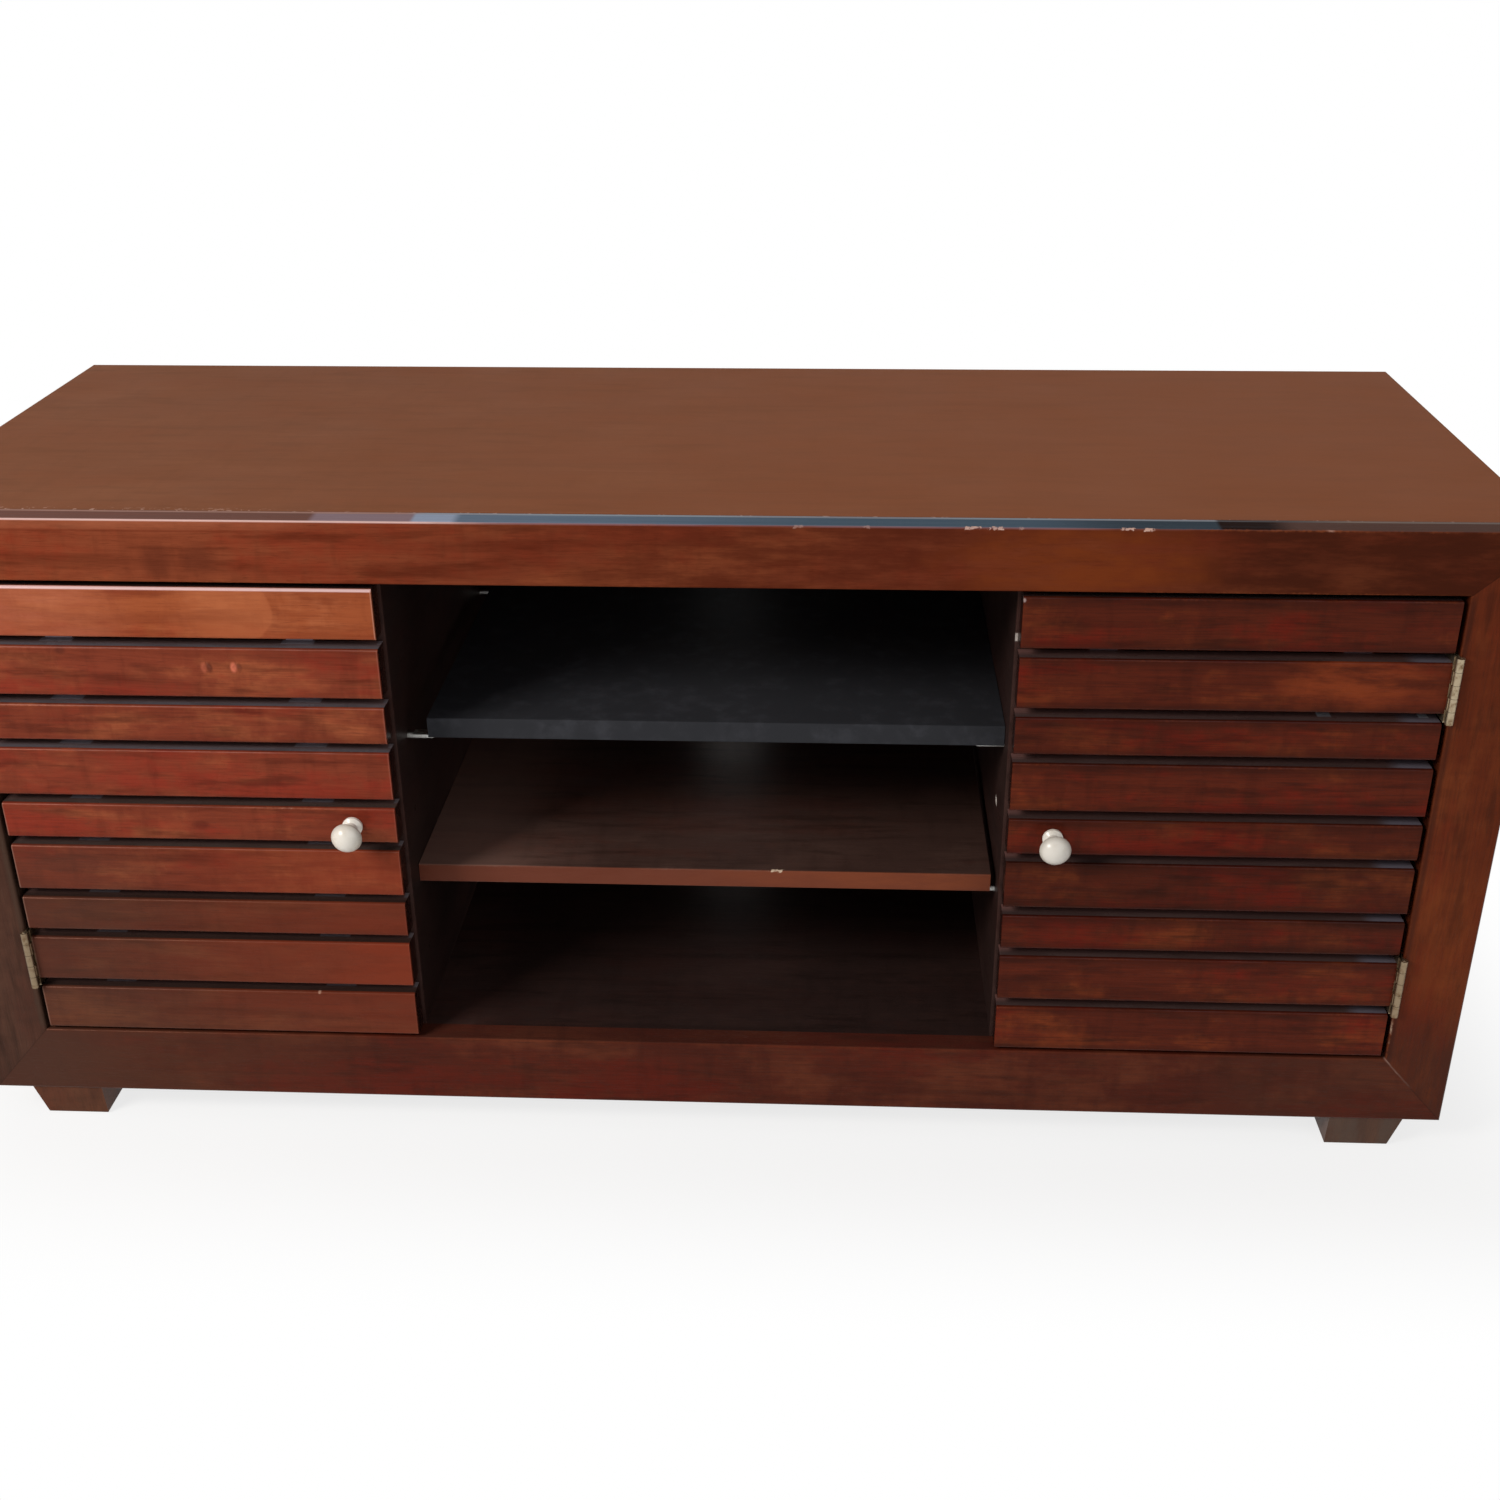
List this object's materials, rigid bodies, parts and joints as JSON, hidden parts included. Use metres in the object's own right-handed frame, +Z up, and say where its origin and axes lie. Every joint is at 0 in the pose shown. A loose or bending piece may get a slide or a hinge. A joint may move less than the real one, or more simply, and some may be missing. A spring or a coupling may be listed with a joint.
{
  "type": "tv cabinet",
  "caption": "Low wide television cabinet with a mitred face frame, slatted inset doors on butt hinges, an open centre bay with adjustable shelves, and short block feet.",
  "frame": {"origin": "on the floor, at the middle of the footprint including the knobs' projection", "axes": "+X to the right of someone facing the doors, +Y from front to back, +Z up"},
  "size_m": [1.2, 0.468, 0.535],
  "materials": {
    "cherry_lacquer": "dark cherry stain under gloss lacquer, open grain showing, worn edges",
    "top_lacquer": "brown stain under gloss lacquer, light scratches",
    "inner_stain": "dark red-brown stain, satin",
    "foot_stain": "dark brown stain, satin",
    "raw_wood": "unfinished softwood",
    "shelf_black": "black satin foil",
    "back_board": "dark brown faced hardboard",
    "knob_ivory": "off-white gloss enamel",
    "brass": "pale brass plate, slightly tarnished",
    "zinc_steel": "zinc plate",
    "catch_plastic": "brown moulded plastic"
  },
  "bodies": {
    "carcass": {"top_board": "top_lacquer", "bottom_board": "inner_stain", "side_panel_left": "inner_stain", "side_panel_right": "inner_stain", "partition_left": "inner_stain", "partition_right": "inner_stain", "back_panel": "back_board", "rear_rail": "raw_wood", "frame_rail_top": "cherry_lacquer", "frame_rail_bottom": "cherry_lacquer", "frame_stile_left": "cherry_lacquer", "frame_stile_right": "cherry_lacquer", "corner_blocks": "raw_wood", "foot_front_left": "foot_stain", "foot_front_right": "foot_stain", "foot_rear_left": "foot_stain", "foot_rear_right": "foot_stain", "shelf_upper": "shelf_black", "shelf_lower": "inner_stain", "shelf_behind_door_left": "inner_stain", "shelf_behind_door_right": "inner_stain", "shelf_supports": "zinc_steel", "hinge_frame_leaves_left": "brass", "hinge_frame_leaves_right": "brass", "hinge_pins": "brass", "catch_left": "catch_plastic", "catch_right": "catch_plastic"},
    "door_left": {"door_slat_1_left": "cherry_lacquer", "door_slat_2_left": "cherry_lacquer", "door_slat_3_left": "cherry_lacquer", "door_slat_4_left": "cherry_lacquer", "door_slat_5_left": "cherry_lacquer", "door_slat_6_left": "cherry_lacquer", "door_slat_7_left": "cherry_lacquer", "door_slat_8_left": "cherry_lacquer", "door_slat_9_left": "cherry_lacquer", "door_batten_inner_left": "cherry_lacquer", "door_batten_outer_left": "cherry_lacquer", "door_knob_left": "knob_ivory", "door_knob_screw_left": "zinc_steel", "door_strike_plate_left": "zinc_steel", "door_hinge_leaves_left": "brass"},
    "door_right": {"door_slat_1_right": "cherry_lacquer", "door_slat_2_right": "cherry_lacquer", "door_slat_3_right": "cherry_lacquer", "door_slat_4_right": "cherry_lacquer", "door_slat_5_right": "cherry_lacquer", "door_slat_6_right": "cherry_lacquer", "door_slat_7_right": "cherry_lacquer", "door_slat_8_right": "cherry_lacquer", "door_slat_9_right": "cherry_lacquer", "door_batten_inner_right": "cherry_lacquer", "door_batten_outer_right": "cherry_lacquer", "door_knob_right": "knob_ivory", "door_knob_screw_right": "zinc_steel", "door_strike_plate_right": "zinc_steel", "door_hinge_leaves_right": "brass"}
  },
  "joints": [
    {"name": "door_left_hinge", "type": "hinge", "parent": "carcass", "child": "door_left", "pos_m": [-0.5465, -0.20915, 0.28775], "axis": [0, 0, -1], "range_deg": [0, 180]},
    {"name": "door_right_hinge", "type": "hinge", "parent": "carcass", "child": "door_right", "pos_m": [0.5465, -0.20915, 0.28775], "axis": [0, 0, 1], "range_deg": [0, 180]}
  ]
}
